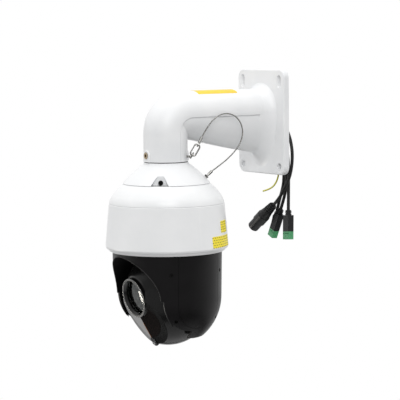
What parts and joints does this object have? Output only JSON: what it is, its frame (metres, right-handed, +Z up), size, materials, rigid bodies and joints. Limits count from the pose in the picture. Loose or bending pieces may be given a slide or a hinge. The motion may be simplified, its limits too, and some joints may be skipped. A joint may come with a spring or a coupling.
{
  "type": "ptz dome camera",
  "caption": "Outdoor pan-tilt-zoom dome camera hanging from an L-shaped wall arm, with a tilting lens head, safety rope and cable pigtails.",
  "frame": {"origin": "middle of the wall plate's rear face", "axes": "+Y goes into the wall, +Z is up, and the arm reaches out along -Y"},
  "size_m": [0.1644, 0.2635, 0.3659],
  "materials": {
    "white_paint": "satin white paint over die-cast aluminium",
    "white_plastic": "satin white plastic",
    "black_plastic": "fine-grained black plastic",
    "lens_black": "satin black",
    "window_black": "polished, nearly opaque infra-red window",
    "lens_glass": "coated optical glass",
    "steel": "stainless",
    "black_steel": "black-plated screws",
    "brass": "yellow-passivated",
    "rubber": "matte black",
    "connector_black": "moulded black plastic",
    "green_plastic": "moulded green plastic",
    "earth_yellow_green": "yellow and green insulation",
    "label_yellow": "printed film label",
    "aluminium": "machined",
    "motor_metal": "plated",
    "circuit_board": "solder-masked board",
    "slip_ring_plastic": "black plastic",
    "filter_glass": "coated filter glass in its frame"
  },
  "bodies": {
    "bracket": {"bracket_arm": "white_paint", "neck_set_screws": "brass", "safety_eye": "steel", "snap_hook": "steel", "safety_rope": "steel", "rope_ferrules": "steel", "rope_anchor": "steel", "neck_gasket": "rubber", "neck_cap": "white_paint", "cap_screws": "black_steel", "top_cover": "white_plastic", "skirt_shell": "white_plastic", "arm_label": "label_yellow", "skirt_labels": "label_yellow", "chassis_plate": "aluminium", "main_board": "circuit_board", "power_board": "circuit_board", "slip_ring_stator": "slip_ring_plastic", "pan_bearing_outer": "steel", "pan_motor": "motor_metal", "pan_belt": "rubber", "cable_trunk": "rubber", "cable_breakout": "black_plastic", "cable_network": "rubber", "cable_power": "rubber", "cable_alarm": "rubber", "cable_audio": "rubber", "earth_wire": "earth_yellow_green", "rj45_coupler": "connector_black", "pigtail_connectors": "connector_black", "terminal_plugs": "green_plastic"},
    "hook_gate": {"snap_hook_gate": "steel"},
    "turning_body": {"slip_ring_rotor": "slip_ring_plastic", "pan_bearing_inner": "steel", "pan_pulley": "aluminium", "pan_yoke": "aluminium", "ear_shell_left": "black_plastic", "ear_shell_right": "black_plastic", "ear_panel_left": "black_plastic", "ear_panel_right": "black_plastic", "ear_screws": "black_steel", "tilt_motor": "motor_metal", "tilt_belt": "rubber", "tilt_bearings": "steel"},
    "pan_motor_shaft": {"pan_motor_pulley": "aluminium"},
    "tilt_motor_shaft": {"tilt_motor_pulley": "aluminium"},
    "head": {"tilt_shafts": "steel", "tilt_pulley": "aluminium", "head_front_shell": "black_plastic", "head_rear_shell": "black_plastic", "front_window": "window_black", "lens_ring": "lens_black", "lens_glass": "lens_glass", "lens_barrel": "lens_black", "sensor_board": "circuit_board", "ir_led_board": "circuit_board", "head_screw": "steel"},
    "zoom_carriage": {"zoom_group": "lens_black"},
    "focus_carriage": {"focus_group": "lens_black"},
    "filter_carriage": {"ir_cut_filter": "filter_glass"}
  },
  "joints": [
    {"name": "pan", "type": "hinge", "parent": "bracket", "child": "turning_body", "pos_m": [0, -0.162, -0.165], "axis": [0, 0, 1], "continuous": true},
    {"name": "pan_motor_spin", "type": "hinge", "parent": "bracket", "child": "pan_motor_shaft", "pos_m": [0, -0.1, -0.161], "axis": [0, 0, 1], "continuous": true},
    {"name": "tilt", "type": "hinge", "parent": "turning_body", "child": "head", "pos_m": [0, -0.162, -0.2345], "axis": [1, 0, 0], "range_deg": [-27, 78]},
    {"name": "tilt_motor_spin", "type": "hinge", "parent": "turning_body", "child": "tilt_motor_shaft", "pos_m": [-0.0625, -0.162, -0.187], "axis": [1, 0, 0], "range_deg": [-110, 315]},
    {"name": "zoom", "type": "slide", "parent": "head", "child": "zoom_carriage", "axis": [0, -0.9781, -0.2079], "range_m": [-0.008, 0.008]},
    {"name": "focus", "type": "slide", "parent": "head", "child": "focus_carriage", "axis": [0, -0.9781, -0.2079], "range_m": [-0.003, 0.005]},
    {"name": "filter_shift", "type": "slide", "parent": "head", "child": "filter_carriage", "axis": [1, 0, 0], "range_m": [0, 0.015]},
    {"name": "gate_swing", "type": "hinge", "parent": "bracket", "child": "hook_gate", "pos_m": [0.02707, -0.13898, -0.0331], "axis": [-0.8381, 0.5303, -0.1277], "range_deg": [0, 30], "stiffness_Nm_per_rad": 0.01, "springref_deg": -11.46}
  ],
  "couplings": [
    {"joint": "pan_motor_spin", "follows": "pan", "ratio": 8},
    {"joint": "tilt_motor_spin", "follows": "tilt", "ratio": 4}
  ]
}
